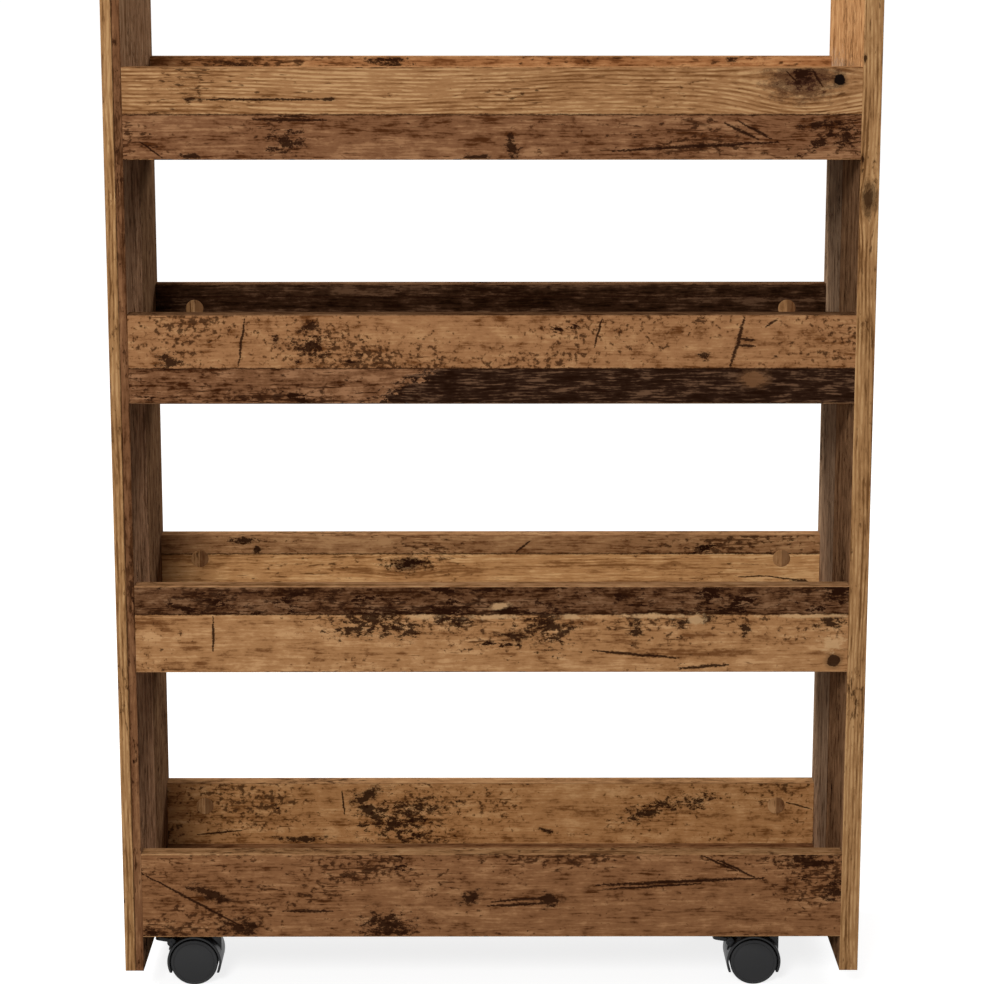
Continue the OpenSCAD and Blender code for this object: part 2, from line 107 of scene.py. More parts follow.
class Shading:
    """Adds nodes to one node tree. A value may be a number, a vector, a colour or another node's output."""

    NUMBER_RESULTS = ("DISTANCE", "DOT_PRODUCT", "LENGTH")

    def __init__(self, tree):
        self.tree = tree

    def add(self, kind, values=None, **settings):
        node = self.tree.nodes.new(kind)
        for name, value in settings.items():
            setattr(node, name, value)
        for key, value in (values or {}).items():
            self.feed(node.inputs[key], value)
        return node

    def feed(self, socket, value):
        if isinstance(value, bpy.types.NodeSocket):
            self.tree.links.new(value, socket)
        else:
            socket.default_value = value

    def math(self, operation, *values, clamp=False):
        node = self.add("ShaderNodeMath", dict(enumerate(values)), operation=operation, use_clamp=clamp)
        return node.outputs[0]

    def times(self, first, second):
        return self.math("MULTIPLY", first, second)

    def times_add(self, first, second, added):
        return self.math("MULTIPLY_ADD", first, second, added)

    def minus(self, first, second):
        return self.math("SUBTRACT", first, second)

    def largest(self, first, second):
        return self.math("MAXIMUM", first, second)

    def vector(self, operation, *values):
        """Result of vector math: a number for a distance, a dot product or a length, else a vector."""
        node = self.add("ShaderNodeVectorMath", dict(enumerate(values)), operation=operation)
        return node.outputs["Value" if operation in self.NUMBER_RESULTS else "Vector"]

    def scaled(self, vector, factor):
        node = self.add("ShaderNodeVectorMath", {0: vector, "Scale": factor}, operation="SCALE")
        return node.outputs["Vector"]

    def combine(self, x=0.0, y=0.0, z=0.0):
        return self.add("ShaderNodeCombineXYZ", {0: x, 1: y, 2: z}).outputs[0]

    def parts(self, vector):
        return self.add("ShaderNodeSeparateXYZ", {0: vector}).outputs

    def blend(self, share, first, second, how="MIX"):
        values = {0: share, 6: first, 7: second}
        node = self.add("ShaderNodeMix", values, data_type="RGBA", blend_type=how, clamp_factor=True)
        return node.outputs[2]

    def step(self, value, start, end, low=0.0, high=1.0):
        """Smooth step of value from low at start to high at end."""
        values = {"Value": value, "From Min": start, "From Max": end, "To Min": low, "To Max": high}
        return self.add("ShaderNodeMapRange", values, interpolation_type="SMOOTHSTEP").outputs[0]

    def noise(self, place, detail=2, roughness=0.5):
        """Noise on a place that already holds its scale; its outputs are a number and a colour."""
        values = {"Vector": place, "Scale": 1.0, "Detail": float(detail), "Roughness": roughness}
        return self.add("ShaderNodeTexNoise", values, noise_dimensions="3D").outputs

    def cloud(self, place, scales, detail=2, roughness=0.5):
        """Noise from 0 to 1 with a scale for each axis."""
        return self.noise(self.vector("MULTIPLY", place, scales), detail, roughness)[0]

    def even_noise(self, place, detail=2, roughness=0.5):
        """Noise about zero that mostly lies within -1 and 1, whatever its detail."""
        weights = [roughness**octave for octave in range(detail + 1)]
        spread = ONE_OCTAVE_SPREAD * math.hypot(*weights) / sum(weights)
        return self.times_add(self.noise(place, detail, roughness)[0], 1.0 / spread, -0.5 / spread)

    def grain_noise(self, along, across, seed, along_scale, across_scale, detail=2, roughness=0.5):
        """Even noise stretched along the grain."""
        run = self.times(along, along_scale)
        past = self.times(across, across_scale)
        return self.even_noise(self.combine(run, past, seed), detail, roughness)

    def object_place(self):
        return self.add("ShaderNodeTexCoord").outputs["Object"]

    def use(self, group, **values):
        """Places a node group; a value's name has _ for each space of the socket's name."""
        node = self.add("ShaderNodeGroup")
        node.node_tree = group
        for name, value in values.items():
            self.feed(node.inputs[name.replace("_", " ")], value)
        return node.outputs


def new_group(name, outputs, **inputs):
    """Node group; returns it, its shading helper, its inputs and its outputs.

    An input is a number, a vector or a colour, as its default value is, and its name has _ for each space.
    The output Color is a colour, any other a number.
    """
    tree = bpy.data.node_groups.new(name, "ShaderNodeTree")
    for label, value in inputs.items():
        kind = "Float" if isinstance(value, float) else {3: "Vector", 4: "Color"}[len(value)]
        socket = tree.interface.new_socket(
            label.replace("_", " "), in_out="INPUT", socket_type=f"NodeSocket{kind}"
        )
        socket.default_value = value
    for label in outputs:
        kind = "Color" if label == "Color" else "Float"
        tree.interface.new_socket(label, in_out="OUTPUT", socket_type=f"NodeSocket{kind}")
    shading = Shading(tree)
    return tree, shading, shading.add("NodeGroupInput").outputs, shading.add("NodeGroupOutput").inputs


# Shared effects

GROWTH_LINES_PER_METRE = 330.0
GRAIN_SWAY = 1.2 * MM
RUBBED_AND_LIT_WIDTH = 1.2 * MM


def make_wood_print():
    """One printed plank, in metres along and across the grain: streaks, mottling, growth lines and fibres in
    three tones, then dark dashes along the grain, flecks and torn stains, which Crowding makes denser."""
    tree, s, given, out = new_group(
        "wood print", ("Color", "Dark Mask", "Fibre"), Along=0.0, Across=0.0, Seed=0.0, Crowding=0.0,
        Dark=(0.05, 0.02, 0.01, 1.0), Middle=(0.2, 0.1, 0.05, 1.0), Light=(0.4, 0.25, 0.12, 1.0),
        Soot=(0.02, 0.01, 0.005, 1.0), Streaks=0.6, Mottling=0.6, Growth_Lines=0.1, Fibres=0.6, Dashes=0.4,
        Flecks=0.3, Fleck_Roundness=1.0, Stains=0.1,
    )
    along, across, seed = given["Along"], given["Across"], given["Seed"]

    def noise(seed_step, along_scale, across_scale, detail, roughness, past=across, run=along):
        """Noise of one kind of print, with its own step of the seed and its scales per metre."""
        own_seed = s.math("ADD", seed, seed_step)
        return s.grain_noise(run, past, own_seed, along_scale, across_scale, detail, roughness)

    swayed = s.times_add(noise(7.3, 4.0, 14.0, 2, 0.5), GRAIN_SWAY, across)
    streak = noise(0.0, 5.0, 80.0, 4, 0.62, swayed)
    mottle = noise(41.3, 62.0, 105.0, 5, 0.68)
    fibre = noise(3.1, 45.0, 520.0, 3, 0.7, swayed)
    turns = 2.0 * math.pi * GROWTH_LINES_PER_METRE
    wave = s.math("SINE", s.times_add(swayed, turns, s.times(streak, 0.75)))
    growth = s.times(wave, s.times_add(mottle, 0.25, 0.7))

    level = 0.5
    for value, amount, weight in (
        (streak, "Streaks", 0.2),
        (mottle, "Mottling", 0.2),
        (fibre, "Fibres", 0.2),
        (growth, "Growth Lines", 0.3),
    ):
        level = s.times_add(value, s.times(given[amount], weight), level)
    colour = s.blend(s.step(level, 0.05, 0.5), given["Dark"], given["Middle"])
    colour = s.blend(s.step(level, 0.5, 0.95), colour, given["Light"])

    crowd = s.math("ADD", noise(23.7, 10.0, 24.0, 3, 0.55), given["Crowding"])

    def past_start(value, amount, rare, reach, crowding):
        """How far a noise lies past the level at which its marks start."""
        start = s.times_add(given[amount], -reach, rare)
        return s.minus(value, s.times_add(crowd, -crowding, start))

    past_dash = past_start(noise(57.9, 42.0, 430.0, 3, 0.65, swayed), "Dashes", 2.5, 2.2, 0.6)
    fleck_run = s.times(along, given["Fleck Roundness"])
    past_fleck = past_start(noise(11.9, 108.0, 235.0, 5, 0.64, across, fleck_run), "Flecks", 2.6, 2.2, 0.7)
    past_stain = past_start(noise(17.1, 24.0, 62.0, 8, 0.78), "Stains", 3.3, 2.4, 0.5)
    dash = s.step(past_dash, 0.0, 0.7)
    fleck = s.times(s.step(past_fleck, 0.0, 0.9), 0.7)
    halo = s.times(s.step(past_fleck, -0.8, 0.2), 0.5)
    stained = s.step(past_stain, 0.0, 0.35)

    browned = s.largest(halo, s.times(dash, 0.8))
    colour = s.blend(browned, colour, given["Dark"])
    dark_mask = s.largest(fleck, s.largest(stained, s.times(dash, 0.4)))
    s.feed(out["Color"], s.blend(dark_mask, colour, given["Soot"]))
    s.feed(out["Dark Mask"], dark_mask)
    s.feed(out["Fibre"], fibre)
    return tree


def make_scratch_mark():
    """Crack or scratch from one point to another, thin at its ends and frayed."""
    tree, s, given, out = new_group(
        "scratch mark", ("Mask",), Place=ORIGIN, Start=ORIGIN, End=(0.1, 0.0, 0.0), Width=1.0 * MM, Fray=0.0
    )
    from_start = s.vector("SUBTRACT", given["Place"], given["Start"])
    line = s.vector("SUBTRACT", given["End"], given["Start"])
    reach = s.vector("DOT_PRODUCT", from_start, line)
    share = s.math("DIVIDE", reach, s.vector("DOT_PRODUCT", line, line), clamp=True)
    distance = s.vector("DISTANCE", from_start, s.scaled(line, share))
    swell = s.times_add(s.math("SINE", s.times(share, math.pi)), 0.6, 0.4)
    width = s.times(given["Width"], swell)
    frayed = s.times_add(given["Fray"], s.times(given["Width"], 0.22), distance)
    s.feed(out["Mask"], s.step(frayed, s.times(width, 1.3), s.times(width, 0.5)))
    return tree


def oval_radius(s, offset, half_size):
    """Distance from an oval's centre, which is one at its rim."""
    return s.vector("LENGTH", s.vector("DIVIDE", offset, half_size))


def make_stain_mark():
    """Oval stain, torn into bits by the fray, with a faint halo."""
    tree, s, given, out = new_group(
        "stain mark", ("Mask",), Place=ORIGIN, Centre=ORIGIN, Half_Size=(0.01, 0.01, 1.0), Turn=0.0, Fray=0.0,
        Fray_Depth=0.3,
    )
    offset = s.vector("SUBTRACT", given["Place"], given["Centre"])
    values = {"Vector": offset, "Angle": given["Turn"]}
    turned = s.add("ShaderNodeVectorRotate", values, rotation_type="Z_AXIS").outputs[0]
    radius = oval_radius(s, turned, given["Half Size"])
    torn = s.times_add(given["Fray"], given["Fray Depth"], radius)
    halo = s.times(s.step(torn, 1.6, 0.9), 0.4)
    s.feed(out["Mask"], s.largest(s.step(torn, 1.0, 0.78), halo))
    return tree


def make_knot_mark():
    """Knot: a dark torn heart, and how far the grain bends across to pass round it."""
    tree, s, given, out = new_group(
        "knot mark", ("Mask", "Bend"), Place=ORIGIN, Centre=ORIGIN, Half_Size=(0.02, 0.012, 1.0), Fray=0.0
    )
    offset = s.vector("SUBTRACT", given["Place"], given["Centre"])
    radius = oval_radius(s, offset, given["Half Size"])
    torn = s.times_add(given["Fray"], 0.16, radius)
    heart = s.times(s.step(torn, 0.6, 0.25), 0.95)
    rings = s.times_add(s.math("SINE", s.times(torn, 24.0)), 0.12, 0.72)
    shade = s.times(s.step(torn, 1.2, 0.45), rings)
    spread = s.math("EXPONENT", s.times(s.times(radius, radius), -0.45))
    s.feed(out["Mask"], s.largest(heart, shade))
    s.feed(out["Bend"], s.times(s.times(s.parts(offset)[Y], spread), -0.85))
    return tree


def make_soft_oval():
    """Value that falls smoothly from 1 at the oval's centre to almost 0 at twice its half size."""
    tree, s, given, out = new_group(
        "soft oval", ("Value",), Place=ORIGIN, Centre=ORIGIN, Half_Size=(0.05, 0.02, 1.0)
    )
    radius = oval_radius(s, s.vector("SUBTRACT", given["Place"], given["Centre"]), given["Half Size"])
    s.feed(out["Value"], s.math("EXPONENT", s.times(s.times(radius, radius), -1.0)))
    return tree


def make_edge_wear_and_highlight():
    """Lighter strip along the two long edges of a board of a size across its grain, from 0 to 1: partly
    rubbed wear, partly a painted highlight of the edges.
    """
    tree, s, given, out = new_group("edge wear and painted highlight", ("Mask",), Across=0.0, Size=0.07, Fray=0.0)
    nearest = s.math("MINIMUM", given["Across"], s.minus(given["Size"], given["Across"]))
    frayed = s.times_add(given["Fray"], RUBBED_AND_LIT_WIDTH * 0.25, nearest)
    s.feed(out["Mask"], s.step(frayed, RUBBED_AND_LIT_WIDTH, 0.0))
    return tree


def make_moulded_skin():
    """Moulded plastic or powder coat: fine pebble, with faint scuffs in cloudy places."""
    tree, s, given, out = new_group(
        "moulded skin", ("Color", "Roughness", "Height"), Place=ORIGIN, Base=(0.02, 0.02, 0.02, 1.0),
        Scuff=(0.07, 0.07, 0.07, 1.0), Pebble_Scale=1800.0, Roughness=0.45,
    )
    place = given["Place"]
    cloud = s.cloud(place, (70.0, 70.0, 70.0), 3, 0.6)
    scuff = s.cloud(place, (900.0, 260.0, 900.0), 4, 0.7)
    scuffed = s.times(s.step(scuff, 0.6, 0.72), s.step(cloud, 0.45, 0.7))
    shade = s.blend(s.times(cloud, 0.35), given["Base"], given["Scuff"])
    s.feed(out["Color"], s.blend(s.times(scuffed, 0.5), shade, given["Scuff"]))
    rougher = s.times_add(s.minus(cloud, 0.5), 0.2, given["Roughness"])
    s.feed(out["Roughness"], s.times_add(scuffed, 0.18, rougher))
    s.feed(out["Height"], s.noise(s.scaled(place, given["Pebble Scale"]))[0])
    return tree


def make_drawn_metal():
    """Bright metal: fine turning lines round and along, with cloudy dull places."""
    tree, s, given, out = new_group(
        "drawn metal", ("Color", "Roughness", "Height"), Place=ORIGIN, Base=(0.5, 0.5, 0.5, 1.0),
        Dull=(0.3, 0.3, 0.3, 1.0), Roughness=0.35,
    )
    lines = s.cloud(given["Place"], (2600.0, 2600.0, 300.0))
    cloud = s.cloud(given["Place"], (160.0, 160.0, 160.0), 4, 0.6)
    dulled = s.step(s.times_add(lines, 0.3, cloud), 0.5, 0.85)
    s.feed(out["Color"], s.blend(dulled, given["Base"], given["Dull"]))
    s.feed(out["Roughness"], s.times_add(dulled, 0.22, given["Roughness"]))
    s.feed(out["Height"], lines)
    return tree


WOOD_PRINT = make_wood_print()
SCRATCH_MARK = make_scratch_mark()
STAIN_MARK = make_stain_mark()
KNOT_MARK = make_knot_mark()
SOFT_OVAL = make_soft_oval()
EDGE_WEAR_AND_HIGHLIGHT = make_edge_wear_and_highlight()
MOULDED_SKIN = make_moulded_skin()
DRAWN_METAL = make_drawn_metal()


# Board materials

SOOT = tone(36, 17, 8)
KNOT = tone(52, 27, 19)
HOLE = tone(20, 13, 10)
PALE = tone(186, 148, 106)

PRINT_BUMP = (0.25, 0.04 * MM)
PRINT_ROUGHNESS = 0.7
SEAM_WIDTH = 1.1 * MM
PLANK_SEED_STEP = 31.0
INK_AND_LIGHT_SEED_STEP = 77.0
PANEL_MIDDLE_X = 292.5 * MM


class Plank:
    """One printed plank of a board: its three tones, how far up the board it reaches in millimetres where
    another follows, and how much it has of each kind of print where that isn't the usual amount."""

    def __init__(self, dark, middle, light, top=0.0, **amounts):
        self.top = top * MM
        self.values = dict(Dark=tone(*dark), Middle=tone(*middle), Light=tone(*light))
        for name, amount in amounts.items():
            self.values[name.title()] = amount

    def printed(self, s, along, across, seed, crowding=0.0, soot=SOOT):
        return s.use(
            WOOD_PRINT, Along=along, Across=across, Seed=seed, Crowding=crowding, Soot=soot, **self.values
        )


def oval(x, y, half_x, half_y):
    """Centre and half size of an oval on a print, from millimetres along and across the grain."""
    return dict(Centre=(x * MM, y * MM, 0.0), Half_Size=(half_x * MM, half_y * MM, 1.0))


def crowd(x, y, half_x, half_y, amount):
    """Oval place with more of the print's small marks, or with fewer where the amount is below zero."""
    return oval(x, y, half_x, half_y), amount


def stain(x, y, half_x, half_y, fray_depth, turn=0.0):
    """Torn oval stain, turned by an angle in degrees."""
    return STAIN_MARK, dict(oval(x, y, half_x, half_y), Fray_Depth=fray_depth, Turn=math.radians(turn))


def scratch(start_x, start_y, end_x, end_y, width):
    """Crack or scratch between two ends."""
    return SCRATCH_MARK, dict(
        Start=(start_x * MM, start_y * MM, 0.0), End=(end_x * MM, end_y * MM, 0.0), Width=width * MM
    )


def mark_mask(s, mark, place, fray, coarse_fray):
    """Mask of one stain or scratch; a scratch has the finer fray."""
    group, values = mark
    own_fray = fray if group == SCRATCH_MARK else coarse_fray
    return s.use(group, Place=place, Fray=own_fray, **values)["Mask"]


def new_material(name):
    """Material with a plain principled surface; returns it, its shading helper and the surface's inputs."""
    material = bpy.data.materials.new(name)
    material.use_nodes = True
    return material, Shading(material.node_tree), material.node_tree.nodes["Principled BSDF"].inputs


def board_axes(s, grain, cross, cross_zero=0.0):
    """Numbers along and across a board's grain, from Object coordinates, and the three coordinates; the one
    across is measured from cross_zero."""
    place = s.parts(s.object_place())
    return place[grain], s.minus(place[cross], cross_zero), place


def finish_surface(s, surface, colour, roughness, relief, bump):
    """Feeds a surface its colour, roughness and relief; bump holds the relief's strength and depth."""
    s.feed(surface["Base Color"], colour)
    s.feed(surface["Roughness"], roughness)
    strength, depth = bump
    node = s.add("ShaderNodeBump", {"Height": relief, "Strength": strength, "Distance": depth})
    s.feed(surface["Normal"], node.outputs[0])


def finish_print(s, surface, colour, fibre, relief, roughness=PRINT_ROUGHNESS, bump=PRINT_BUMP):
    """Matte printed film, a little rougher or smoother from fibre to fibre."""
    surface["Specular IOR Level"].default_value = 0.0
    finish_surface(s, surface, colour, s.times_add(fibre, 0.03, roughness), relief, bump)


def wandering_place(s, along, across, seed):
    """Place on a print, moved a little this way and that, so that no mark has a ruled edge."""
    scaled = s.combine(s.times(along, 60.0), s.times(across, 90.0), seed + 5.0)
    warp = s.vector("SUBTRACT", s.noise(scaled)[1], (0.5, 0.5, 0.5))
    return s.vector("ADD", s.combine(along, across), s.vector("MULTIPLY", warp, (3.0 * MM, 2.2 * MM, 0.0)))


def ink_and_light_share(s, along, across, coarse_fray, start, end, low, high):
    """One past a frayed line from start, at low across the grain, to end, at high; zero above high."""
    line = s.times_add(s.minus(across, low), (end - start) / (high - low), start)
    past_line = s.times_add(coarse_fray, 8.0 * MM, s.minus(along, line))
    return s.times(s.step(past_line, -1.0 * MM, 3.0 * MM), s.math("LESS_THAN", across, high))


def printed_board(
    name, grain, cross, cross_zero, cross_size, seed, planks,
    crowds=(), dark_marks=(), pale_marks=(), knots=(), holes=(), pale=PALE, ink_and_light_overlay=None, outer_lift_from_painted_shade=None,
):
    """Old-wood print on a board: planks side by side, seams between them, then the board's own marks.

    grain and cross are the axes along and across the print. inked holds a plank and the line past which it
    covers the others: dark ink on a rail, and painted light on a side panel's inner faces above the highest
    tray. outer_lift_from_painted_shade is for a side panel: its outer face has no such plank and is
    multiplied by that colour, which lifts it out of the painted shade that the panel's planks hold.
    """
    material, s, surface = new_material(name)
    along, across, coordinates = board_axes(s, grain, cross, cross_zero)
    fray = s.grain_noise(along, across, seed, 420.0, 900.0, 3, 0.6)
    coarse_fray = s.grain_noise(along, across, seed + 9.0, 120.0, 200.0, 7, 0.8)
    place = wandering_place(s, along, across, seed)

    crowding = 0.0
    for where, amount in crowds:
        crowding = s.times_add(s.use(SOFT_OVAL, Place=place, **where)["Value"], amount, crowding)
    bent_across = across
    knot_mask = dark_mask = 0.0
    for where in knots:
        knot = s.use(KNOT_MARK, Place=place, Fray=coarse_fray, **where)
        bent_across = s.math("ADD", bent_across, knot["Bend"])
        knot_mask = s.largest(knot_mask, knot["Mask"])
    for mark in dark_marks:
        dark_mask = s.largest(dark_mask, mark_mask(s, mark, place, fray, coarse_fray))

    printed = planks[0].printed(s, along, bent_across, seed, crowding)
    colour, fibre = printed["Color"], printed["Fibre"]
    for order, (lower, plank) in enumerate(zip(planks, planks[1:]), start=1):
        printed = plank.printed(s, along, bent_across, seed + PLANK_SEED_STEP * order, crowding)
        past_seam = s.times_add(coarse_fray, SEAM_WIDTH * 0.2, s.minus(across, lower.top))
        colour = s.blend(s.math("GREATER_THAN", past_seam, 0.0), colour, printed["Color"])
        from_seam = s.times_add(fray, SEAM_WIDTH * 0.12, s.math("ABSOLUTE", past_seam))
        seam_mask = s.times(s.step(from_seam, SEAM_WIDTH, 0.0), 0.9)
        dark_mask = s.largest(dark_mask, seam_mask)
    # One more plank past a line: dark ink on a rail; on a side panel's inner faces, painted light above the
    # highest tray.
    if ink_and_light_overlay is not None:
        plank, line = ink_and_light_overlay
        printed = plank.printed(s, along, across, seed + INK_AND_LIGHT_SEED_STEP)
        share = ink_and_light_share(s, along, across, coarse_fray, **line)
        # On a side panel the outer face drops this plank and is multiplied out of the painted shade that the
        # panel's planks hold.
        if outer_lift_from_painted_shade is not None:
            outside = s.math("GREATER_THAN", s.math("ABSOLUTE", coordinates[X]), PANEL_MIDDLE_X)
            share = s.times(share, s.minus(1.0, outside))
            colour = s.blend(outside, colour, outer_lift_from_painted_shade, "MULTIPLY")
        colour = s.blend(share, colour, printed["Color"])

    colour = s.blend(knot_mask, colour, KNOT)
    colour = s.blend(s.times(dark_mask, 0.93), colour, SOOT)
    for mark in pale_marks:
        pale_mask = mark_mask(s, mark, place, fray, coarse_fray)
        colour = s.blend(s.times(pale_mask, 0.8), colour, pale)
    for mark in holes:
        colour = s.blend(mark_mask(s, mark, place, fray, coarse_fray), colour, HOLE)
    # Lighter long edges: rubbed wear and a painted highlight, in place of the light that rounded edges would
    # catch.
    worn_and_lit = s.use(EDGE_WEAR_AND_HIGHLIGHT, Across=across, Size=cross_size, Fray=fray)["Mask"]
    colour = s.blend(s.times(worn_and_lit, 0.3), colour, PALE)
    finish_print(s, surface, colour, fibre, s.times_add(dark_mask, -2.0, fibre))
    return material


# Print of each front rail, from the lowest. Marks are in millimetres, from the rail's middle and lower edge.
FRONT_RAILS = {
    1: dict(
        seed=3.0,
        planks=[
            Plank(
                (70, 38, 16), (128, 87, 56), (158, 115, 78),
                streaks=0.4, mottling=0.5, fibres=0.4, dashes=0.36, flecks=0.42, fleck_roundness=1.6,
                stains=0.3,
            ),
        ],
        crowds=[
            crowd(-105, 56, 120, 16, 1.5), crowd(0, 71, 300, 6, 1.0), crowd(262, 55, 30, 20, 1.1),
            crowd(-87, 13, 28, 16, 1.0), crowd(80, 10, 160, 26, -1.6), crowd(-240, 45, 40, 12, -0.8),
            crowd(60, 60, 85, 13, 2.0),
        ],
        dark_marks=[
            scratch(-285, 55, -194, 3, 1.2), scratch(-170, 22.5, -130, 22, 1.4),
            stain(-230, 37, 16, 4.6, 0.3, turn=22), stain(-205, 8, 12, 6.5, 0.45),
            stain(-85, 8, 18, 10.5, 0.5), stain(-17.5, 33.5, 8.5, 4.6, 0.3, turn=-25),
            stain(47, 31.5, 10, 5.5, 0.35), scratch(-3, 26.5, 43, 28.5, 1.5),
            scratch(-1, 30, 52, 34.5, 1.2), scratch(85, 44, 222, 50.5, 1.6),
            scratch(90, 40.5, 170, 45.5, 1.2), scratch(183, 66, 214, 51, 1.3),
            scratch(172, 69, 200, 56, 1.2), stain(258, 64, 16, 5, 0.6), stain(279, 40, 6, 10, 0.5),
            stain(-278, 2, 8, 4, 0.35),
        ],
    ),
    2: dict(
        seed=11.0,
        planks=[
            Plank(
                (106, 67, 37), (157, 113, 73), (182, 139, 96), top=47.8,
                fibres=0.45, dashes=0.2, flecks=0.35, fleck_roundness=1.8, stains=0.3,
            ),
            Plank(
                (50, 26, 11), (96, 64, 41), (124, 90, 63),
                mottling=0.9, dashes=0.7, flecks=0.8, fleck_roundness=1.2, stains=1.0,
            ),
        ],
        crowds=[
            crowd(100, 44, 160, 6, 1.3), crowd(-85, 40, 30, 12, 1.5), crowd(45, 36, 22, 14, 1.2),
            crowd(-40, 52, 50, 10, 1.2), crowd(-200, 20, 60, 30, -0.6), crowd(40, 10, 120, 10, -0.6),
        ],
        dark_marks=[
            stain(-98, 44, 17, 6, 0.6), stain(-75, 36, 13, 6, 0.75), stain(-112, 34, 14, 4, 0.7),
            stain(-40, 44.5, 6, 4, 0.4), stain(-24, 43, 8, 5, 0.5), stain(18, 30, 9, 4, 0.4),
            stain(46, 39, 13, 11, 0.8), stain(115, 38, 4, 9, 0.5), stain(152, 42, 6, 4, 0.5),
            stain(168, 44, 9, 3, 0.5), stain(202.5, 35, 4, 4, 0.45), stain(271, 42, 10, 5, 0.6),
            stain(273.8, 9.4, 6, 6, 0.06), scratch(-222.5, 46, -223, 18, 1.1),
            scratch(80, 18, 150, 11.5, 1.4), scratch(150, 3, 190, 6, 1.5),
        ],
        pale_marks=[
            stain(7, 55, 7, 2.4, 0.2, turn=-10), stain(-55, 45.8, 10, 1.5, 0.35),
            stain(0, 45.5, 16, 1.5, 0.35), stain(65, 45, 10, 1.8, 0.35), stain(130, 46.2, 22, 1.5, 0.35),
            stain(163, 44, 5, 4, 0.4), stain(250, 46.2, 30, 1.3, 0.35), stain(272, 23, 9, 4.5, 0.4),
        ],
    ),
    3: dict(
        seed=23.0,
        planks=[
            Plank(
                (56, 28, 11), (112, 75, 49), (144, 103, 72), top=28.2,
                mottling=0.8, dashes=0.6, flecks=0.55, fleck_roundness=1.5, stains=0.55,
            ),
            Plank(
                (92, 54, 26), (149, 105, 69), (171, 128, 87),
                streaks=0.4, fibres=0.35, dashes=0.1, flecks=0.62, fleck_roundness=2.0, stains=0.3,
            ),
        ],
        ink_and_light_overlay=(
            Plank((31, 15, 7), (42, 25, 16), (96, 69, 50), streaks=0.15, fibres=0.95, dashes=0.2),
            dict(start=-97.0 * MM, end=-49.0 * MM, low=0.0, high=28.2 * MM),
        ),
        crowds=[
            crowd(-140, 52, 28, 20, 1.1), crowd(-230, 46, 70, 25, 0.4), crowd(-220, 4, 70, 8, 1.6),
            crowd(0, 50, 50, 30, -0.8), crowd(120, 48, 40, 20, 0.5),
        ],
        dark_marks=[
            stain(-142, 61, 7, 4, 0.45), stain(-142, 45, 10, 7, 0.7), stain(-253, 34, 7, 5, 0.6),
            stain(-170, 50, 3, 4, 0.4), stain(166, 38, 4, 3, 0.4), scratch(-193.5, 67.5, -199, 30, 1.1),
            scratch(86, 68, 80, 45, 1), scratch(197.6, 68, 187, 29, 1.8), scratch(192, 52, 205, 51, 1.4),
            scratch(193, 47, 206, 46, 1.3), scratch(214, 61, 224, 68, 1),
        ],
        pale_marks=[stain(205.6, 20, 10.5, 6.5, 0.15)],
        pale=tone(112, 77, 50),
    ),
    4: dict(
        seed=37.0,
        planks=[
            Plank(
                (72, 39, 18), (119, 80, 53), (148, 107, 74), top=34.8,
                dashes=0.45, flecks=0.38, fleck_roundness=1.4, stains=0.3,
            ),
            Plank(
                (108, 70, 39), (151, 109, 71), (180, 140, 97),
                streaks=0.45, mottling=0.3, growth_lines=0.98, dashes=0.2, flecks=0.15, stains=0.0,
            ),
        ],
        knots=[oval(239, 62, 33, 20)],
        holes=[stain(267.4, 61.5, 4.8, 4.8, 0.05)],
        crowds=[crowd(-165, 30, 30, 6, 1.5), crowd(260, 18, 30, 18, 1.0), crowd(190, 18, 40, 14, 0.6)],
        dark_marks=[
            stain(238.5, 64.5, 7, 5, 0.6), scratch(246, 69, 255, 56, 1), scratch(226, 68, 238, 56, 0.8),
            scratch(-235, 46.6, -121.5, 46.2, 1), stain(-233, 46.4, 5, 1.4, 0.3),
            stain(-127, 46.2, 6, 1.3, 0.3), scratch(-185, 31.2, -127, 30.8, 1.3),
            scratch(-165, 34, -140, 33.5, 0.9), stain(-158, 14, 9, 6, 0.75),
            scratch(93, 7, 222, 13.8, 1.5), scratch(180, 28, 205, 15.5, 1.5),
            scratch(190, 30, 216, 16, 1.2), stain(256, 27, 15, 2.8, 0.6, turn=-8),
            stain(274, 18, 6, 6, 0.8), stain(252, 14, 11, 3, 0.7, turn=-35), stain(-235, 3, 8, 2, 0.4),
            stain(-13, 2, 9, 2, 0.4), stain(15, 10, 4, 7, 0.6), scratch(-272, 14, -255, 2, 0.8),
        ],
    ),
}
